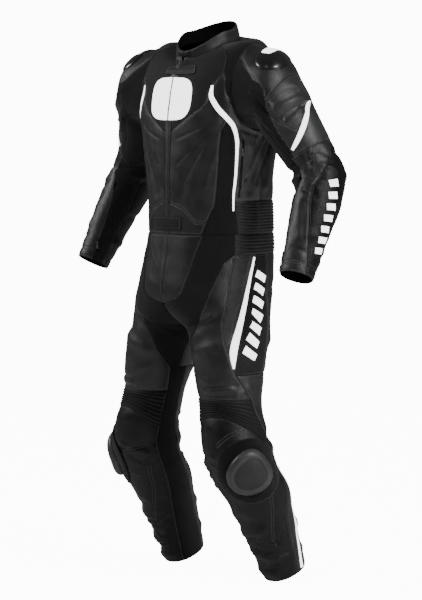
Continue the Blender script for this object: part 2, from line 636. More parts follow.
def panel(name, body, left, right, finish, slot, step=4.5, bend=None, relief=None, sink=1.1,
          crown=0.0, sides=(1,), wall=WALL, lift=0.0, cols=None, rows=None, wander=1.0, seams=None,
          zone=None, tuck=0.0, solid=True, printed=False):
    """Makes name or name_left and name_right. The outer face is the body's point plus its normal
    times lift + folds + relief + crown - valley; the inner face lies one wall below it. tuck
    carries the first row on by that many mm, under the piece that it is sewn to. relief, zone and
    sink may be functions; v and s in them are the shares down and across the panel. A panel with
    solid stands for the solid of its name; one that is printed is not cut from a sheet."""
    probe = np.linspace(0, 1, 9)
    u, t = grid_uv(left, right, probe, probe, bend)
    p = body.point(u, t)
    tall = float(np.linalg.norm(np.diff(p, axis=0), axis=-1).sum(0).mean())
    wide = float(np.linalg.norm(np.diff(p, axis=1), axis=-1).sum(1).mean())
    rows = spaced(tall, step) if rows is None else rows
    cols = spaced(wide, step) if cols is None else cols
    u, t = grid_uv(left, right, rows, cols, bend)
    for side in sides:
        uu = u * side if body is JACKET else u
        p, n = body.point(uu, t), body.normal(uu, t)
        back = p[0] - p[1]
        p[0] += tuck * back / np.maximum(np.linalg.norm(back, axis=-1, keepdims=True), 1e-6)
        edge, along = border_fields(p)
        if seams is not None:
            edge, along = nearest_seam(seams, u, t, edge, along)
        waves = slack(p * np.array([1.0 if side > 0 else 1.13, 1, 1]))
        low = body.fold(uu, t) + wander * waves
        high = low
        if relief is not None:
            high = low + relief(u, t, edge, rows[:, None] + 0 * u, cols[None, :] + 0 * u)
        valley = (sink(u, t) if callable(sink) else sink) * np.exp(-((edge / VALLEY) ** 2))
        high = high - valley + crown * (1 - np.exp(-((edge / CROWN_REACH) ** 2)))
        outer = p + n * (lift + high)[..., None]
        inner = p + n * (lift + low - 0.4 * valley - wall)[..., None]
        if body is LEGS:  # above the crotch the two legs meet on the middle plane
            middle = ((u < 0.01) | (u > 359.99)) & (t < CROTCH + 5)
            for face in (outer, inner):
                face[..., 0] = np.where(middle, 0.0, np.maximum(face[..., 0], 0.04))
        label = name + ("" if len(sides) == 1 else "_left" if side > 0 else "_right")
        obj = closed_sheet(label, outer, inner, edge, along, finish,
                           1 if body is JACKET else side, zone and zone(u, t))
        fit(obj, label, solid=solid)
        if not printed:
            area = area_of(outer)


def cut(name, body, left, right, t0, t1, *finish_and_slot, **more):
    """A panel between two seam lines, from tape height t0 to t1."""
    panel(name, body, run(left, t0, t1), run(right, t0, t1), *finish_and_slot, **more)


# %% [markdown]
# ## Finishes
# Five effects are shared by the materials, so each one is a node group that is built once: the
# grain of cowhide, a row of stitches beside a seam, the rub on high edges, the weave of stretch
# cloth and the fuzz of hook-and-loop tape. A group gives out only colours, masks and heights; the
# shader itself stays in each material.

# %% Helpers for node trees
def new_group(name, inputs, outputs):
    """A node group with float outputs; gives the group, its input and its output sockets."""
    g = bpy.data.node_groups.new(name, "ShaderNodeTree")
    for label, kind, value in inputs:
        s = g.interface.new_socket(name=label, in_out="INPUT", socket_type=kind)
        if value is not None:
            s.default_value = value
    for label in outputs:
        g.interface.new_socket(name=label, in_out="OUTPUT", socket_type="NodeSocketFloat")
    ins, outs = g.nodes.new("NodeGroupInput").outputs, g.nodes.new("NodeGroupOutput").inputs
    return g, ins[:len(inputs)], outs[:len(outputs)]


def add(tree, kind, inputs=None, **settings):
    """A node with its settings; inputs maps a socket to a value or to another node's output."""
    node = tree.nodes.new(kind)
    for k, v in settings.items():
        setattr(node, k, v)
    for k, v in (inputs or {}).items():
        if isinstance(v, bpy.types.NodeSocket):
            tree.links.new(v, node.inputs[k])
        else:
            node.inputs[k].default_value = v
    return node


def math_node(tree, operation, a, b=0.0, clamp=False):
    """One sum of two values or sockets."""
    return add(tree, "ShaderNodeMath", {0: a, 1: b}, operation=operation,
               use_clamp=clamp).outputs[0]


def mapped(tree, value, low, high, to_low=0.0, to_high=1.0, soft=True):
    """Stretches low..high to to_low..to_high, along an S curve if soft."""
    ranges = {"From Min": low, "From Max": high, "To Min": to_low, "To Max": to_high}
    return add(tree, "ShaderNodeMapRange", {"Value": value, **ranges},
               interpolation_type="SMOOTHSTEP" if soft else "LINEAR").outputs["Result"]


def noise(tree, vector, scale, detail=3.0):
    """Cloudy noise from 0 to 1."""
    return add(tree, "ShaderNodeTexNoise", {"Vector": vector, "Scale": scale, "Detail": detail,
                                            "Roughness": 0.55}).outputs["Fac"]


def mix(tree, share, first, second):
    """first * (1 - share) + second * share, as colours."""
    return add(tree, "ShaderNodeMix", {0: share, 6: first, 7: second}, data_type="RGBA").outputs[2]


def use(tree, group, *inputs):
    """A shared group placed in a tree, its inputs set or linked in their order."""
    return add(tree, "ShaderNodeGroup", dict(enumerate(inputs)), node_tree=group)


# %% Grain of cowhide
V, F = "NodeSocketVector", "NodeSocketFloat"
grain, (at, cells, cloudiness), (height, shade) = new_group(
    "cowhide grain", [("Vector", V, None), ("Cells per metre", F, 620.0), ("Cloudiness", F, 26.0)],
    ["Height", "Shade"])
m = partial(math_node, grain)
gaps = add(grain, "ShaderNodeTexVoronoi", {"Vector": at, "Scale": cells, "Randomness": 0.9},
           feature="DISTANCE_TO_EDGE").outputs["Distance"]
pores = noise(grain, at, m("MULTIPLY", cells, 3.1), 2.0)
grain.links.new(m("ADD", mapped(grain, gaps, 0.0, 0.28), m("MULTIPLY", pores, 0.35)), height)
grain.links.new(mapped(grain, noise(grain, at, cloudiness, 4.0), 0.3, 0.72), shade)

# %% A row of stitches
stitch, (edge, along, from_edge, pitch, thread), (mask, groove) = new_group(
    "stitch row", [("Edge", F, 0.0), ("Along", F, 0.0), ("From edge", F, 0.0034),
                   ("Pitch", F, 0.0042), ("Thread", F, 0.0008)], ["Mask", "Groove"])
m = partial(math_node, stitch)
off = m("ABSOLUTE", m("SUBTRACT", edge, from_edge))
near = m("SUBTRACT", 1.0, m("DIVIDE", off, thread), True)
turn = m("FRACT", m("DIVIDE", along, pitch))
gap = mapped(stitch, m("ABSOLUTE", m("SUBTRACT", turn, 0.5)), 0.3, 0.38)
stitch.links.new(m("MULTIPLY", mapped(stitch, near, 0.0, 0.5), m("SUBTRACT", 1.0, gap)), mask)
beside = m("SUBTRACT", 1.0, m("DIVIDE", off, m("MULTIPLY", thread, 2.6)), True)
stitch.links.new(mapped(stitch, beside, 0.0, 1.0), groove)

# %% Rubbed edges, weave and fuzz
wear, (at, edge, reach), (mask,) = new_group(
    "rubbed edge", [("Vector", V, None), ("Edge", F, 0.0), ("Reach", F, 0.006)], ["Mask"])
m = partial(math_node, wear)
ragged = mapped(wear, noise(wear, at, 160.0, 4.0), 0.42, 0.66)
wear.links.new(m("MULTIPLY", m("SUBTRACT", 1.0, m("DIVIDE", edge, reach), True), ragged), mask)

weave, (at, threads), (height, shade) = new_group(
    "stretch weave", [("Vector", V, None), ("Threads per metre", F, 900.0)], ["Height", "Shade"])
m = partial(math_node, weave)
bands = [add(weave, "ShaderNodeTexWave", {"Vector": at, "Scale": m("MULTIPLY", threads, 0.05),
                                          "Distortion": 0.6, "Detail": 1.0},
             wave_type="BANDS", bands_direction=way).outputs["Fac"] for way in ("X", "Z")]
weave.links.new(m("MULTIPLY", *bands), height)
weave.links.new(mapped(weave, noise(weave, at, 34.0, 4.0), 0.3, 0.7), shade)

fuzz, (at, per_metre), (height,) = new_group(
    "hook and loop fuzz", [("Vector", V, None), ("Tufts per metre", F, 900.0)], ["Height"])
m = partial(math_node, fuzz)
tufts = add(fuzz, "ShaderNodeTexVoronoi", {"Vector": at, "Scale": per_metre}).outputs["Distance"]
fuzz.links.new(m("ADD", m("MULTIPLY", tufts, 0.6), noise(fuzz, at, 2600.0, 2.0)), height)
print("node groups:", [g.name for g in (grain, stitch, wear, weave, fuzz)])

# %% [markdown]
# ## Materials
# Leather is a nearly black, slightly cloudy colour under a satin surface. What tells it apart from
# cloth is the light: soft, wide highlights that break on the grain. Stretch cloth is darker and
# spreads its light at grazing angles, which is what the sheen of the shader is for.

# %% One shader for leather, cloth, plastic and metal
WEAVE_SCALE = 17000.0
WEAVE_DEPTH, FUZZ_DEPTH, GRAIN_DEPTH, THREAD_DEPTH = 0.0003, 0.0012, 0.00035, 0.0006  # metres


def material(name, dark, light, rough, *, grain_height=0.0, cells_per_m=620.0, thread=None,
             from_edge=0.0034, cloth=0.0, fuzzy=0.0, worn=0.0, metallic=0.0, coat=0.0, sheen=0.0,
             specular=0.5, glow=0.0):
    """dark and light are (grey, blue): red and green are the grey. The colour goes from dark to
    light with the grain's cloud, roughness from rough - 0.05 to rough + 0.07."""
    dark, light = ((grey, grey, blue, 1) for grey, blue in (dark, light))
    mat = bpy.data.materials.new(name)
    mat.use_nodes = True
    tree = mat.node_tree
    shader = tree.nodes["Principled BSDF"]
    for socket, value in {"Metallic": metallic, "Coat Weight": coat, "Coat Roughness": 0.12,
                          "Sheen Weight": sheen, "Sheen Roughness": 0.45, "Emission Color": light,
                          "Specular IOR Level": specular, "Emission Strength": glow}.items():
        shader.inputs[socket].default_value = value
    where = add(tree, "ShaderNodeTexCoord").outputs["Object"]
    edge, along = (add(tree, "ShaderNodeAttribute", attribute_name=label).outputs["Fac"]
                   for label in ("edge", "along"))
    g = use(tree, grain, where, cells_per_m)
    colour = mix(tree, g.outputs["Shade"], dark, light)
    height, depth, strength = g.outputs["Height"], GRAIN_DEPTH, grain_height
    if cloth:
        height = use(tree, weave, where, WEAVE_SCALE).outputs["Height"]
        depth, strength = WEAVE_DEPTH, cloth
    elif fuzzy:
        height, depth, strength = use(tree, fuzz, where).outputs["Height"], FUZZ_DEPTH, fuzzy
    if worn:
        share = math_node(tree, "MULTIPLY", use(tree, wear, where, edge).outputs[0], worn)
        pale = (*(min(1.0, c * 2.6 + 0.02) for c in light[:3]), 1)
        colour = mix(tree, share, colour, pale)
    normal = add(tree, "ShaderNodeBump", {"Strength": strength, "Distance": depth,
                                          "Height": height}).outputs[0]
    if thread:
        s = use(tree, stitch, edge, along, from_edge)
        colour = mix(tree, s.outputs["Mask"], colour, (*thread, 1))
        lift = math_node(tree, "SUBTRACT", s.outputs["Mask"], s.outputs["Groove"])
        normal = add(tree, "ShaderNodeBump", {"Strength": 0.7, "Distance": THREAD_DEPTH,
                                              "Height": lift, "Normal": normal}).outputs[0]
    satin = mapped(tree, g.outputs["Shade"], 0.0, 1.0, rough - 0.05, rough + 0.07, False)
    for socket, value in (("Base Color", colour), ("Roughness", satin), ("Normal", normal)):
        tree.links.new(value, shader.inputs[socket])
    return mat


# %% Leather
SEWN = dict(thread=(0.085, 0.085, 0.088))
leather = material("black cowhide", (0.011, 0.0115), (0.021, 0.022), 0.37, grain_height=0.36,
                   worn=0.2, specular=0.6, **SEWN)
arm_hide = material("satin cowhide of the upper sleeve", (0.021, 0.0215), (0.038, 0.039), 0.37,
                    grain_height=0.36, worn=0.2, specular=0.6, **SEWN)
pebbled = material("soft grained cowhide", (0.032, 0.033), (0.056, 0.057), 0.42,
                   grain_height=0.75, cells_per_m=430.0, worn=0.3, **SEWN)
deep_hide = material("deep black cowhide", (0.003, 0.0033), (0.006, 0.0063), 0.37,
                     grain_height=0.35, worn=0.15, specular=0.4, **SEWN)
elbow_hide = material("black cowhide of the forearm", (0.003, 0.0033), (0.006, 0.0063), 0.4,
                      grain_height=0.35, worn=0.15, specular=0.28, **SEWN)
polished = material("polished cowhide", (0.05, 0.0515), (0.09, 0.0915), 0.32,
                    grain_height=0.4, worn=0.2, specular=0.8, **SEWN)
fly_hide = material("black cowhide of the fly", (0.007, 0.0075), (0.014, 0.0145), 0.42,
                    grain_height=0.45, worn=0.15, **SEWN)
yoke_cloth = material("perforated matte cowhide", (0.009, 0.0095), (0.015, 0.016), 0.68,
                      grain_height=0.35, specular=0.35, sheen=0.05, **SEWN)
ribbed = material("accordion cowhide", (0.012, 0.0125), (0.021, 0.022), 0.46,
                  grain_height=0.4, worn=0.25)
knee_hide = material("matte accordion cowhide", (0.007, 0.0075), (0.012, 0.0125), 0.6,
                     grain_height=0.3, worn=0.15, specular=0.35)
white_hide = material("white cowhide", (0.78, 0.775), (0.86, 0.855), 0.42, grain_height=0.25,
                      glow=3.4)
WHITE = [white_hide], "white_leather"

# %% Cloth, tape, plastic and metal
webbing = material("edged webbing", (0.012, 0.0125), (0.02, 0.021), 0.6, cloth=0.3,
                   thread=(0.3, 0.3, 0.3), from_edge=0.0016)
stretch = material("black stretch cloth", (0.009, 0.0095), (0.014, 0.0145), 0.86, cloth=0.35,
                   sheen=0.12, specular=0.25)
lining = material("black mesh lining", (0.004, 0.0045), (0.008, 0.009), 0.9, cloth=0.5,
                  specular=0.15)
loops = material("hook and loop tape", (0.0045, 0.005), (0.008, 0.0085), 0.95, fuzzy=0.8,
                 sheen=0.25, specular=0.2)
tape = material("zip tape", (0.005, 0.0055), (0.009, 0.0095), 0.8, cloth=0.5)
gloss = material("gloss black plastic", (0.006, 0.0065), (0.009, 0.0095), 0.3,
                 grain_height=0.02, coat=0.5)
puck_skin = material("scuffed nylon", (0.05, 0.051), (0.07, 0.071), 0.38, grain_height=0.15,
                     worn=0.4)
puck_face = material("smooth nylon face", (0.02, 0.0205), (0.028, 0.029), 0.4, grain_height=0.06)
gunmetal = material("dark zip metal", (0.16, 0.165), (0.24, 0.245), 0.32, grain_height=0.03,
                    metallic=1.0)
steel = material("dull zip teeth", (0.05, 0.052), (0.09, 0.092), 0.45, metallic=0.5)
HIDE, SOFT_HIDE, RIBBED, CLOTH, YOKE = ([face, lining] for face in (leather, pebbled, ribbed,
                                                                    stretch, yoke_cloth))
print("materials:", len(bpy.data.materials))

# %% [markdown]
# ## The jacket
# Ribs come first, because three panels use them. A rib is a rounded ridge between two stitched
# valleys. Across a panel of n ribs the height is high * (1 - |2f - 1| ** 2.4), where f is the place
# inside one rib from 0 to 1, and it fades out beside the seams.

# %% Ribs and inner seams
def ribs(count, high):
    """count ribs of high mm down a panel, by the formula above."""
    def relief(u, t, edge, v, s):
        f = np.mod(v * count, 1.0)
        uneven = 1 + 0.12 * np.sin(9 * s + 5 * np.floor(v * count))
        beside_seam = 1 - np.exp(-((edge / 6) ** 2))
        return high * (1 - np.abs(2 * f - 1) ** 2.4) * uneven * beside_seam
    return relief


def fine_rows(t0, t1, step, *marks):
    """Row shares from t0 to t1, every step mm, with extra rows at the marks."""
    body = np.linspace(t0 + 7, t1 - 7, max(2, int((t1 - t0 - 14) / step) + 1))
    extra = np.concatenate([np.atleast_1d(m).astype(float) for m in marks])
    extra = extra[(extra > t0 + 2) & (extra < t1 - 2)]
    body = body[np.abs(body[:, None] - extra[None, :]).min(1) > step * 0.4]
    return (np.unique(np.concatenate([t0 + BORDER, t1 - BORDER, body, extra])) - t0) / (t1 - t0)


hole_rows = ARM_T - ARM_HIGH * np.cos(np.radians(np.arange(0, 181, 7.5)))
HOLE_TOP, TOP = ARM_T + ARM_HIGH, 999


def pick(*parts):
    """One seam out of several: pairs (upper limit of t, seam), read from the bottom up."""
    def seam(t):
        t = np.asarray(t, float)
        out = np.full(t.shape, np.nan)
        for limit, part in parts:
            todo = np.isnan(out) & (t < limit)
            out = np.where(todo, part(t) if callable(part) else float(part), out)
        return out
    return seam


RIBS_T, YOKE_T, SIDE_END, STRETCH_T, NECK_T = 84, 262, 262.1, 293.7, 560
front_left = pick((260, ZIP_HALF), (TOP, YOKE_EDGE))
front_right = pick((STRETCH_T, FRONT_EDGE), (369, STRIPE_EDGE), (HOLE_TOP, loop(-1)), (TOP, ARM_U))
side_right = pick((SIDE_END, SIDE_SEAM), (TOP, loop(-1)))
back_left = pick((SIDE_END, SIDE_SEAM), (HOLE_TOP, loop(1)), (TOP, ARM_U))
matte_chest = line((300, 90), (308, 72), (314, 64), (328, 57), (354, 51), (376, 49), (394, 49),
                   (422, 47), (430, 30))


def chain(scale, *points):
    """Seam rows from each (u, t) to the next. scale is how many mm one degree of u is there."""
    return [(*a, *b, scale) for a, b in zip(points, points[1:])]


def follow(seam, scale, *heights):
    """Seam rows that follow a seam line from height to height."""
    return chain(scale, *((float(seam(t)), t) for t in heights))


def seam_table(*chains):
    """A table of seams from lists of rows."""
    return table(SEAM, *(row for rows in chains for row in rows))


SIDE_SEAMS = seam_table(chain(2.9, (66, 270), (72, 238), (78, 222), (79, 186), (78, 158), (74, 92)))
BACK_SEAMS = seam_table(chain(2.6, (104, 436), (140, 424), (180, 420), (220, 424), (256, 436)),
                        chain(2.7, (148, 422), (143, 330), (150, 200), (156, 84)),
                        chain(2.7, (212, 422), (217, 330), (210, 200), (204, 84)))
RIB_SEAMS = seam_table(chain(2.9, (95, 0), (97, 40), (96, 84)),
                       chain(2.9, (-95, 0), (-97, 40), (-96, 84)))
FRONT_SEAMS = seam_table(follow(matte_chest, 2.8, 300, 308, 314, 328, 354, 376, 394, 422, 430),
                         chain(2.6, (2.3, 79), (4, 80), (18, 64), (31, 30), (42, 32)))

# %% Body of the jacket
SIDE_T = 328.7
FLAT, VALLEY_DEEP = 0.1, 1.1  # mm that a seam sinks: where cloth is laid on leather, and elsewhere
cut("front_lower", JACKET, front_left, front_right, 0, NECK_T, [*HIDE, stretch], "leather",
    crown=0.8, sides=PAIR, step=3.2, rows=fine_rows(0, NECK_T, 3.2, hole_rows, 258, YOKE_T),
    seams=FRONT_SEAMS, zone=lambda u, t: u > matte_chest(t),
    sink=lambda u, t: np.where(u > matte_chest(t) + 1, FLAT, VALLEY_DEEP))
cut("front_yoke", JACKET, ZIP_HALF, YOKE_EDGE, YOKE_T, NECK_T, YOKE, "stretch_cloth", sides=PAIR)
cut("side_stretch", JACKET, FRONT_EDGE, STRIPE_EDGE, 0, STRETCH_T, CLOTH, "stretch_cloth",
    sides=PAIR)
cut("side_panel", JACKET, STRIPE_EDGE, side_right, RIBS_T, SIDE_T, [polished, lining], "leather",
    crown=0.5, sides=PAIR, rows=fine_rows(RIBS_T, SIDE_T, 3.6, hole_rows), seams=SIDE_SEAMS,
    cols=np.linspace(0, 1, 33))
cut("back", JACKET, back_left, lambda t: 360 - back_left(t), RIBS_T, NECK_T, HIDE, "leather",
    crown=0.8, rows=fine_rows(RIBS_T, NECK_T, 3.8, hole_rows), step=3.8, seams=BACK_SEAMS)
cut("waist_ribs", JACKET, STRIPE_EDGE, lambda t: 360 - STRIPE_EDGE(t), 0, RIBS_T, RIBBED,
    "rib_leather", rows=np.linspace(0, 1, 89), relief=ribs(11, 2.6), wander=0.4, seams=RIB_SEAMS)
print("jacket body:", len(made), "pieces")

# %% [markdown]
# The sleeve has a cap over the shoulder, an upper sleeve, two forearm panels that meet in a curve
# round the elbow, and stretch cloth underneath. The matte cloth at the front of the shoulder ends
# inside two of these panels, so there it is a zone of the same grid, with stitches along its line.

# %% Sleeves
arm_left = lambda t: UNDER_FRONT(t) - 360
CAP_T, ELBOW_T, CUFF_T = 82, 222, 560
elbow_start = float(arm_left(ELBOW_T) + 5 / 12 * (UNDER_REAR(ELBOW_T) - arm_left(ELBOW_T)))
elbow_edge = line((ELBOW_T, elbow_start),
                  (230, 0.6 * elbow_start + 0.4 * float(ELBOW_EDGE(230.0))),
                  *((t, float(ELBOW_EDGE(t))) for t in (242, 296, 348, 382, 464, 530, 560)))
matte_front = line((0, 66), (2, 48), (18, 32), (34, 20), (56, 18), (66, 18), (84, 8), (150, 6),
                   (194, 9), (228, 8), (294, 7), (330, -5))
matte = lambda u, t: u < matte_front(t)
half_matte = dict(sides=PAIR, zone=matte,
                  sink=lambda u, t: np.where(matte(u + 1, t), FLAT, VALLEY_DEEP))
SHOULDER_SEAMS = seam_table(follow(matte_front, 1.3, 0, 2, 18, 34, 56, 66, 84))
SLEEVE_SEAMS = seam_table(chain(1.3, (8, 96), (12, 112), (22, 138), (42, 166), (58, 182),
                                (84, 150)), follow(matte_front, 1.3, 66, 84, 150, 194, 228))
CUFF_SEAMS = seam_table(chain(0.9, (-60, 536), (330, 536)), chain(1.1, (54, 222), (36, 284)),
                        chain(1.1, (44, 244), (70, 238)), chain(1.1, (34, 266), (46, 316)))
forearm = dict(sides=PAIR, seams=CUFF_SEAMS,
               rows=fine_rows(ELBOW_T, CUFF_T, 4.5, np.arange(526, 548, 2.0)))
cut("shoulder", ARM, arm_left, UNDER_REAR, 0, CAP_T, [*HIDE, stretch], "leather", crown=0.6,
    step=3.2, seams=SHOULDER_SEAMS, tuck=4.0, **half_matte)
cut("upper_sleeve", ARM, arm_left, UNDER_REAR, CAP_T, ELBOW_T, [arm_hide, lining, stretch],
    "leather", crown=0.8, step=3.0, seams=SLEEVE_SEAMS, **half_matte)
cut("forearm_front", ARM, arm_left, elbow_edge, ELBOW_T, CUFF_T, HIDE, "leather", crown=0.6,
    **forearm)
cut("forearm_outer", ARM, elbow_edge, UNDER_REAR, ELBOW_T, CUFF_T, [elbow_hide, lining], "leather",
    crown=0.8, **forearm)
cut("under_sleeve", ARM, UNDER_REAR, UNDER_FRONT, 0, CUFF_T, CLOTH, "stretch_cloth", sides=PAIR,
    tuck=4.0)
print("with sleeves:", len(made), "pieces")

# %% [markdown]
# ## The trousers
# The knee panel dips: its seams run down and across the front of the knee in a curve, so every
# row of the grid is moved up by the same curve and the shin starts where the knee ends.

# %% Seams inside the trousers
POCKET_SEAMS = seam_table(chain(1.9, (138, 56), (140, 100), (135, 142), (126, 188)))
STRIPE_SEAMS = seam_table(chain(1.9, (172, 54), (166, 86), (154, 144), (144, 200), (141, 260)))
SHIN_SEAMS = seam_table(chain(1.2, (168, 643), (160, 687), (144, 757)),
                        chain(1.2, (44, 589), (54, 643), (82, 741)),
                        chain(1.5, (102, 513), (128, 489), (166, 469)),
                        chain(1.4, (44, 541), (92, 551)))
FLY_SEAMS = seam_table(chain(2.6, (0, 2), (0, 158)), chain(2.6, (-7, 2), (-6, 120)),
                       chain(2.6, (7, 2), (6, 120)), chain(2.6, (-44, 20), (-10, 78)))
matte_side = line((0, 184), (56, 180), (108, 171), (174, 161), (230, 157), (276, 153), (343, 148))
DIP, DIP_ENDS, SHIN_LONG = 56, 150, 382  # mm


def dip(s):
    """How far the knee's seams hang at share s of the way across."""
    return DIP * np.sin(np.pi * s) ** 1.3


def knee_dip(s, v):
    """The knee panel is straight at its top and takes the whole dip at its foot."""
    return -dip(s) * v


def shin_dip(s, v):
    """The shin takes the whole dip at its top and none from DIP_ENDS mm down."""
    return -dip(s) * np.maximum(0, 1 - v * SHIN_LONG / DIP_ENDS)


# %% Trousers
WAIST_T, THIGH_T, HEM_T = 50, 342.5, 875
cut("fly", FLY, lambda t: -FLY_EDGE(t), FLY_EDGE, 0, 172, [fly_hide, lining], "leather", step=3.0,
    seams=FLY_SEAMS)
cut("crotch", LEGS, pick((173, FLY_EDGE), (TOP, 0)), CROTCH_EDGE, 0, THIGH_T, CLOTH,
    "stretch_cloth", sides=PAIR)
cut("thigh_front", LEGS, pick((344, CROTCH_EDGE), (TOP, INNER_FRONT)),
    pick((344, HIP_EDGE), (TOP, KNEE_SIDE)), WAIST_T, 404, HIDE, "leather", crown=0.8,
    sides=PAIR, step=3.2, seams=POCKET_SEAMS)
cut("hip_side", LEGS, HIP_EDGE, SEAT_EDGE, WAIST_T, THIGH_T, [*SOFT_HIDE, yoke_cloth], "leather",
    crown=0.6, sides=PAIR, step=3.0, seams=STRIPE_SEAMS,
    zone=lambda u, t: (u > matte_side(t)) & (u < 207))
cut("seat", LEGS, SEAT_EDGE, 360, WAIST_T, THIGH_T, HIDE, "leather", crown=0.6, sides=PAIR)
cut("trouser_ribs", SEAT, lambda t: CROTCH_EDGE(t) - 360, lambda t: 360 - CROTCH_EDGE(t), 0,
    WAIST_T, RIBBED, "rib_leather", rows=np.linspace(0, 1, 49), relief=ribs(6, 2.6), wander=0.4)
panel("knee_ribs", LEGS, run(INNER_FRONT, 404, 493), run(KNEE_SIDE, 404, 513),
      [knee_hide, lining], "rib_leather", rows=np.linspace(0, 1, 81), relief=ribs(8, 3.0),
      bend=knee_dip, sides=PAIR, wander=0.4)
panel("shin", LEGS, run(INNER_FRONT, 493, HEM_T), run(OUTER_EDGE, 513, HEM_T),
      [deep_hide, lining], "leather", crown=0.6, sides=PAIR, bend=shin_dip, step=3.2,
      seams=SHIN_SEAMS)
cut("inner_leg", LEGS, INNER_REAR, INNER_FRONT, 343, HEM_T, CLOTH, "stretch_cloth", sides=PAIR)
cut("back_leg", LEGS, pick((513, KNEE_SIDE), (TOP, OUTER_EDGE)), lambda t: INNER_REAR(t) + 360,
    343, HEM_T, HIDE, "leather", crown=0.5, sides=PAIR)
print("with trousers:", len(made), "pieces")

# %% [markdown]
# ## Collar, tabs and zips
# The collar is a soft band with a padded rim, open at the zip. Two hook-and-loop tabs lie over the
# zip's ends, at the throat and at the waist. They are small panels on the same surfaces, lifted by
# their own thickness, so they follow the body below them.

# %% Collar and tabs
def rolled(u, t, edge, v, s):
    """Height of the padded collar rim: it swells towards its top edge and turns back in."""
    return np.interp(v, [0, 0.2, 0.5, 0.78, 0.9, 1.0], [0, 0.4, 0.8, 1.6, 1.7, 0.6])


cut("collar", NECK, ZIP_HALF, 360 - ZIP_HALF, 0, 40, HIDE, "stretch_cloth", relief=rolled,
    step=3.0, tuck=4.0)
cut("throat_tab", NECK, -17, 17, 10, 28, [loops], "stretch_cloth", lift=3.2, wall=1.8, step=1.5,
    sink=0.5)
cut("waist_tab", JACKET, -14, 16, 12, 44, [yoke_cloth], "stretch_cloth", lift=3.1, wall=2.4,
    step=2.0, sink=0.6)


# %% Front zip and the fly's zip
TOOTH_PAIR, TEETH_FROM = 4.8, 50  # mm


def coil(u, t, edge, v, s):
    """The closed row of teeth: a ridge in the middle of the tape, with a tooth every 2.4 mm."""
    ridge = np.exp(-(((s - 0.5) / 0.16) ** 2))
    teeth = 0.75 + 0.25 * np.sign(np.sin(2 * np.pi * t / TOOTH_PAIR)) * np.sign(s - 0.5)
    return np.where(t > TEETH_FROM, 1.1, 0.3) * ridge * teeth


zip_look = dict(relief=coil, cols=np.linspace(0, 1, 15))
cut("front_zip", JACKET, -ZIP_HALF, ZIP_HALF, 0, 560, [leather, leather, steel], "stretch_cloth",
    sink=0.5, rows=np.linspace(0, 1, 468), zone=lambda u, t: np.abs(u) < 0.34, **zip_look)
cut("fly_zip", FLY, -1.9, 1.9, 4, 146, [leather, leather, steel], "zip_metal", lift=0.9, wall=0.8,
    sink=0.4, rows=np.linspace(0, 1, 150), zone=lambda u, t: np.abs(u) < 0.3, solid=False,
    **zip_look)

# %% [markdown]
# A strap of webbing closes over the zip's top, and a wire ring hangs there as its pull. The ring
# is a tube carried round an ellipse. Its middle line waves a little, because a ring that is bent
# by hand is never quite flat.

# %% Throat strap and ring
cut("throat_strap", JACKET, -7, 18, 419, 462, [webbing], "stretch_cloth", lift=3.2, wall=2.4,
    step=1.5, sink=0.8, solid=False)


def wire_ring(name, body, u, t, wide, tall, thick, ahead, rise, count=64, sides=10):
    """A closed ring of wire that hangs upright before a body. Its middle line is an ellipse of
    wide by tall mm, and thick is the wire's radius."""
    around, about = (np.linspace(0, 2 * np.pi, k + 1)[:-1] for k in (count, sides))
    u, t = np.float64(u), np.float64(t)
    n = body.normal(u, t) * (1, 1, 0)
    n /= np.linalg.norm(n)
    up = np.array((0.0, 0.0, 1.0))
    across = np.cross(n, up)
    c, s = np.cos(around)[:, None], np.sin(around)[:, None]
    out = c / wide * across + s / tall * up
    out /= np.linalg.norm(out, axis=-1, keepdims=True)
    mid = body.point(u, t) + n * ahead + up * rise + (c * wide / 2 * across + s * tall / 2 * up)
    mid = mid + 0.35 * np.sin(3 * around)[:, None] * n
    tube = mid[:, None] + thick * (np.cos(about)[None, :, None] * out[:, None]
                                   + np.sin(about)[None, :, None] * n)
    i, j = np.meshgrid(np.arange(count), np.arange(sides), indexing="ij")
    i2, j2 = (i + 1) % count, (j + 1) % sides
    corners = [(a * sides + b).ravel() for a, b in ((i, j), (i2, j), (i2, j2), (i, j2))]
    mesh = bpy.data.meshes.new(name)
    mesh.from_pydata((tube.reshape(-1, 3) * MM).tolist(), [], np.stack(corners, 1).tolist())
    mesh.update()
    face = mesh.polygons[0]
    if (np.array(face.center) - mid[0] * MM) @ np.array(face.normal) < 0:
        mesh.flip_normals()
    mesh.materials.append(gunmetal)
    mesh.polygons.foreach_set("use_smooth", np.ones(len(mesh.polygons), bool))
    made[name] = place(name, mesh)
    fit(made[name], name, solid=False)


wire_ring("throat_ring", JACKET, 1.5, 468, 12, 25, 1.0, 8.0, 8.0)
print("with zip:", len(made), "pieces")

# %% [markdown]
# ## Pieces laid on the panels
# Stripes, zips, cups and sliders lie on the leather. Each one is placed in millimetres measured on
# the surface itself, so a stripe keeps its width and a slider its outline wherever they are put.
# The white plate and the two rows of bars are plain shapes, laid on in the same way.

# %% Measuring on a surface
def step_on(body, u, t, a, b):
    """Moves (u, t) by a mm along the rings and by b mm down the tape, square to them."""
    e, h = 0.5, 4.0  # half a step in degrees and in mm of tape
    du = (body.point(u + e, t) - body.point(u - e, t)) / (2 * e)
    dt = (body.point(u, t + h) - body.point(u, t - h)) / (2 * h)
    du2 = np.maximum((du * du).sum(-1), 1e-6)
    skew = (dt * du).sum(-1)
    flat = np.linalg.norm(dt - du * (skew / du2)[..., None], axis=-1)
    dv = b / np.maximum(flat, 1e-3)
    return u + (a - dv * skew / np.sqrt(du2)) / np.sqrt(du2), t + dv


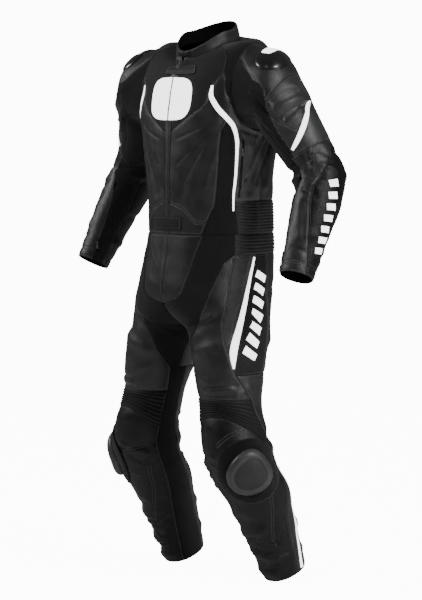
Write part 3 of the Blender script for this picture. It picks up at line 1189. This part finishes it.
def rail(body, path, half):
    """One edge of a stripe whose middle follows the path (u, t, width in mm), as a border: the
    middle, moved half a width to the side, square to the path and on the surface."""
    us, ts, ws = np.array(path, float).T
    knots = np.arange(len(path), dtype=float)

    def border(v):
        x = np.clip(np.asarray(v, float), 0, 1) * (len(path) - 1)
        u, t, w = (cubic(knots, c, x) for c in (us, ts, ws))
        nudge = np.where(x > 0.5, -0.02, 0.02)
        u2, t2 = (cubic(knots, c, x + nudge) for c in (us, ts))
        here, n = body.point(u, t), body.normal(u, t)
        ahead = (body.point(u2, t2) - here) * np.sign(nudge)[:, None]
        ahead /= np.linalg.norm(ahead, axis=-1, keepdims=True)
        side = np.cross(n, ahead)
        du = body.point(u + 0.5, t) - body.point(u - 0.5, t)
        du /= np.linalg.norm(du, axis=-1, keepdims=True)
        dv = np.cross(n, du)
        dv *= np.sign((dv * (body.point(u, t + 1) - here)).sum(-1))[:, None]
        return step_on(body, u, t, half * w * (side * du).sum(-1), half * w * (side * dv).sum(-1))
    return border


def strip(name, body, path, finish, slot, lift=1.7, wall=1.1, sink=0.4, step=3.0, **more):
    """A stripe, zip or printed bar along a path, on both sides of the suit."""
    panel(name, body, rail(body, path, -0.5), rail(body, path, 0.5), finish, slot, lift=lift,
          wall=wall, sides=PAIR, sink=sink, step=step, **more)


# %% White stripes
strip("chest_stripe", JACKET, [(36, 380, 6), (36, 350, 12), (43, 318, 13), (52, 294, 12),
                               (60, 272, 11), (65, 240, 9), (67.5, 190, 7), (68.5, 144, 6),
                               (68, 100, 5), (68.5, 60, 4)], *WHITE)
strip("arm_stripe", ARM, [(108, 131, 5), (94, 138, 11), (70, 162, 14), (50, 180, 13),
                          (30, 195, 11), (14, 205, 7)], *WHITE)
strip("hip_stripe", LEGS, [(178, 56, 5), (168, 108, 8), (158, 174, 12), (151, 230, 16),
                           (146, 276, 19), (145, 300, 15), (146, 326, 4)], *WHITE)
strip("calf_stripe", LEGS, [(226, 530, 3), (230, 653, 6), (218, 749, 8), (196, 868, 11)], *WHITE,
      lift=1.5, wall=0.9, solid=False)

# %% Printed bars
BARS = 7
for k in range(BARS):
    u, t = 84 + 3.0 * k, 328 + 27 * k
    strip(f"forearm_bar_{k + 1}", ARM, [(u - 3, t - 7, 27), (u + 3, t + 7, 27)], *WHITE,
          wall=1.0, solid=False, printed=True)
for k in range(BARS):
    u, t, wide = 190 - 3.2 * k, 104 + 31 * k, 33 + k
    strip(f"thigh_bar_{k + 1}", LEGS, [(u + 4, t - 8, wide), (u - 0.5, t + 8, wide)], *WHITE,
          wall=1.0, solid=False, printed=True)

# %% Chest plate
PLATE_T, PLATE_HIGH, PLATE_WIDE, PLATE_ROUND = 346.0, 61.0, 17.5, 3.2


def plate_edge(t):
    """Half width in degrees: a superellipse, so the plate is a rounded oblong."""
    share = np.minimum(1, np.abs((t - PLATE_T) / PLATE_HIGH))
    return np.maximum(PLATE_WIDE * (1 - share ** PLATE_ROUND) ** (1 / PLATE_ROUND), 1.2)


def plate_groove(u, t, edge, v, s):
    """1.1 mm lower away from the zip, which the plate's inner edges climb as a bell curve."""
    return -1.1 * (1 - np.exp(-((np.abs(u) / 4.0) ** 2)))


cut("chest_plate", JACKET, 0.35, plate_edge, PLATE_T - PLATE_HIGH, PLATE_T + PLATE_HIGH, *WHITE,
    lift=2.1, wall=1.0, sink=0.5, sides=PAIR, cols=np.linspace(0, 1, 19),
    rows=0.5 - 0.5 * np.cos(np.pi * np.linspace(0, 1, 49)), relief=plate_groove, solid=False)


# %% Zips of pockets, cuffs and ankles
def teeth(pitch):
    """A ridge in the middle of the tape, as a bell curve, with a sine wave of teeth along it."""
    def relief(u, t, edge, v, s):
        ridge = np.exp(-(((s - 0.5) / 0.2) ** 2))
        return ridge * (0.9 + 0.25 * np.sin(v * 2 * np.pi / pitch))
    return relief


for name, body, path in (
    ("pocket_zip", JACKET, [(71, 236, 5), (72.5, 216, 6), (73, 186, 6), (73, 134, 6), (74, 94, 5)]),
    ("cuff_zip", ARM, [(322, 505, 6), (320, 530, 6), (318, 556, 6)]),
    ("ankle_zip", LEGS, [(262, 850, 7), (258, 780, 7), (252, 700, 7)]),
):
    strip(name, body, path, [tape], "zip_metal", lift=0.9, wall=0.8, sink=0.2, relief=teeth(0.02),
          solid=False, step=1.6)
print("with stripes and zips:", len(made), "pieces")

# %% [markdown]
# A cup or slider is a disc bent over the body. Its grid is a square squeezed into a circle, so the
# mesh has no pole. A profile gives the height over the surface at each share of the outline.

# %% Discs on a body
WAY_STEPS = 10


def disc(name, body, u0, t0, outline, floor, profile, finish, count=75, patch=None,
         wrinkle=0.0):
    """Both sides of a disc. outline gives its reach in mm in each direction, walked over the body
    in WAY_STEPS steps; floor and profile are heights over the body's folds in mm."""
    a, b = np.meshgrid(*[np.linspace(-1, 1, count)] * 2)
    x, y = a * np.sqrt(1 - b * b / 2), b * np.sqrt(1 - a * a / 2)
    r, ang = np.hypot(x, y), np.arctan2(y, x)
    reach = r * outline(ang)
    u, t = np.full_like(r, u0), np.full_like(r, t0)
    for _ in range(WAY_STEPS):
        u, t = step_on(body, u, t, reach / WAY_STEPS * np.cos(ang), reach / WAY_STEPS * np.sin(ang))
    height = cubic(*np.array(profile, float).T, r)
    height = height + wrinkle * np.sin(7 * ang + 9 * r) * np.sin(5 * x + 3)
    p, n, low = body.point(u, t), body.normal(u, t), body.fold(u, t)
    outer, inner = p + n * (low + height)[..., None], p + n * (low + floor)[..., None]
    for side, tail in zip(PAIR, ("_left", "_right")):
        obj = closed_sheet(name + tail, outer, inner, (1 - r) * outline(ang), ang * outline(ang),
                           finish, side, patch and patch(x, y))
        fit(obj, name + tail)


def oval(wide, tall):
    """The reach of an ellipse with half axes wide and tall, in each direction."""
    return lambda ang: 1 / np.hypot(np.cos(ang) / wide, np.sin(ang) / tall)


def puck_outline(ang):
    """A circle with three soft corners, wider below, as worn sliders are."""
    corners = 0.05 * np.cos(3 * (ang - np.pi / 2)) + 0.04 * np.sin(ang)
    return 57.5 * (1 - corners + 0.02 * np.cos(4 * ang - 0.6))


# %% Shoulder cups and knee sliders
disc("shoulder_cup", ARM, 76.0, 44.0, oval(56, 44), 1.4,
     [(0, 6.9), (0.3, 6.8), (0.6, 6.1), (0.82, 5.0), (0.93, 3.9), (1, 2.4)],
     [gloss, gloss, white_hide],
     patch=lambda x, y: ((x - 0.2) / 0.46) ** 4 + ((y + 0.42) / 0.34) ** 4 < 1)
disc("slider_base", LEGS, 153.0, 574.0, oval(94, 86), 1.9,
     [(0, 3.8), (0.6, 3.8), (0.9, 3.9), (0.97, 3.5), (1, 2.6)], [loops],
     count=61, wrinkle=0.35)
disc("slider", LEGS, 150.0, 577.0, puck_outline, 4.7,
     [(0, 16.4), (0.5, 16.5), (0.64, 16.7), (0.71, 18.4), (0.8, 18.0), (0.89, 15.2),
      (0.96, 11.5), (1, 7)], [puck_skin, puck_skin, puck_face],
     patch=lambda x, y: np.hypot(x, y) < 0.66)
print("with cups and sliders:", len(made), "pieces")

# %% [markdown]
# ## Pull tabs
# Each zip's slider carries a flat tongue of metal that turns on it, so each tab rides on a body of
# its own. A grid along the tongue and across it gives both faces, and a dent marks the grip.

# %% Pull tabs
def pull_tab(name, body, u, t, length, lift):
    """A flat metal tongue with a waist, hanging from its slider. half is its half width along d,
    the way down from the hinge, and thick is half its thickness, rounded off at both ends."""
    u, t = np.float64(u), np.float64(t)
    n, at = body.normal(u, t), body.point(u, t)
    at = at + n * (body.fold(u, t) + lift)
    down = np.array([0, 0, -1.0]) + n * n[2]
    down /= np.linalg.norm(down)
    wide = np.cross(n, down)
    d, s = np.linspace(-0.75, length, 33)[:, None], np.linspace(-1, 1, 9)[None, :]
    half = cubic(np.array([-0.75, 0, 0.25 * length, 0.8 * length, length]),
                 np.array([2.0, 2.4, 1.6, 3.0, 2.0]), d)
    ends = np.clip((d + 0.95) / 0.9, 0.2, 1), np.clip((length + 0.2 - d) / 1.2, 0.3, 1)
    thick = 0.8 * ends[0] * ends[1] * (1 - 0.35 * s ** 4)
    dent = 0.35 * np.exp(-(((d - 0.72 * length) / 3) ** 2) - (s / 0.55) ** 2)
    mid = at + down * d[..., None] + wide * (half * s)[..., None]
    outer, inner = mid + n * (thick - dent)[..., None], mid - n * thick[..., None]
    far = 0 * (d + s) + 1.0
    for side, tail in zip(PAIR, ("_left", "_right")):
        label = name + tail
        obj = closed_sheet(label, outer, inner, far, far, [gunmetal], side)
        fit(obj, label, rides=label + "_body")


pull_tab("pocket_pull", JACKET, 72.5, 216, 20, 1.5)
pull_tab("cuff_pull", ARM, 322, 512, 18, 1.15)
pull_tab("ankle_pull", LEGS, 262, 846, 18, 1.1)
print("all pieces:", len(made))

# %% [markdown]
# ## Light, floor and camera
# The object is lit like a catalogue picture: a soft key light from the upper right of the camera
# and a low one below it, a light from the left, a faint one from above the front, and a dim white
# world round it, so that black leather shows its shape through wide, dim highlights. The camera
# sees the world and the floor much brighter than the suit does, which keeps the background white.
# The lights shine on one point in the middle of the suit.

# %% World
scene = bpy.context.scene
world = bpy.data.worlds.new("studio")
scene.world = world
world.use_nodes = True
SEEN, AMBIENT = 12.0, 0.13


def strength_seen(tree, hidden):
    """SEEN for rays from the camera, and hidden for all the light that falls on the suit."""
    seen_by_camera = add(tree, "ShaderNodeLightPath").outputs["Is Camera Ray"]
    return mapped(tree, seen_by_camera, 0.0, 1.0, hidden, SEEN, False)


background = world.node_tree.nodes["Background"]
background.inputs["Color"].default_value = (1, 1, 1, 1)
world.node_tree.links.new(strength_seen(world.node_tree, AMBIENT), background.inputs["Strength"])


# %% Camera
def look(obj, at, to):
    """Puts obj at a point, with its -Z axis on another point and its Y axis upward."""
    back = (at - to) / np.linalg.norm(at - to)
    right = np.cross((0, 0, 1), back)
    right /= np.linalg.norm(right)
    turned = np.stack([right, np.cross(back, right), back, at], 1)
    obj.matrix_world = mathutils.Matrix([*map(list, turned), [0, 0, 0, 1]])


camera_data = bpy.data.cameras.new("camera")
camera_data.lens, camera_data.sensor_width, camera_data.sensor_fit = 164.7, 36.0, "AUTO"
camera = place("camera", camera_data)
look(camera, np.array((5.202, -4.684, -0.088)), np.array((0.0, 0.0, -0.637)))
scene.camera = camera

# %% Lights
for name, at, size, watts in (
    ("key", (4.3, 0.1, 2.6), 1.2, 135),
    ("left_strip", (-2.8, -2.0, 1.3), 1.0, 45),
    ("front_top", (1.2, -3.4, 3.2), 1.2, 12),
    ("low_side", (4.4, 1.0, -0.1), 0.9, 30),
):
    data = bpy.data.lights.new(name, "AREA")
    data.shape, data.size, data.energy = "DISK", size, watts
    look(place(name, data), np.array(at), np.array((0.0, 0.0, -0.6)))

# %% Floor
FLOOR_Z, FLOOR_HALF = -1.346, 9
floor_mesh = bpy.data.meshes.new("floor")
floor_mesh.from_pydata([(x * FLOOR_HALF, y * FLOOR_HALF, FLOOR_Z)
                        for x, y in ((-1, -1), (1, -1), (1, 1), (-1, 1))], [], [(0, 1, 2, 3)])
floor = place("floor", floor_mesh)
paper = bpy.data.materials.new("white paper")
paper.use_nodes = True
shader = paper.node_tree.nodes["Principled BSDF"]
shader.inputs["Base Color"].default_value = (0.9, 0.9, 0.9, 1)
shader.inputs["Roughness"].default_value = 0.9
shader.inputs["Emission Color"].default_value = (1, 1, 1, 1)
paper.node_tree.links.new(strength_seen(paper.node_tree, 0.0), shader.inputs["Emission Strength"])
floor_mesh.materials.append(paper)
floor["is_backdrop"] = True

# %% Sizes and finish
low, high = (list(map(float, c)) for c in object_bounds())
print("visual box:", [round(v, 3) for v in low], [round(v, 3) for v in high])
triangles = {o.name: 2 * len(o.data.polygons) for o in made.values()}
largest = sorted(triangles.items(), key=lambda item: -item[1])[:4]
print("triangles:", sum(triangles.values()), "largest:", largest)
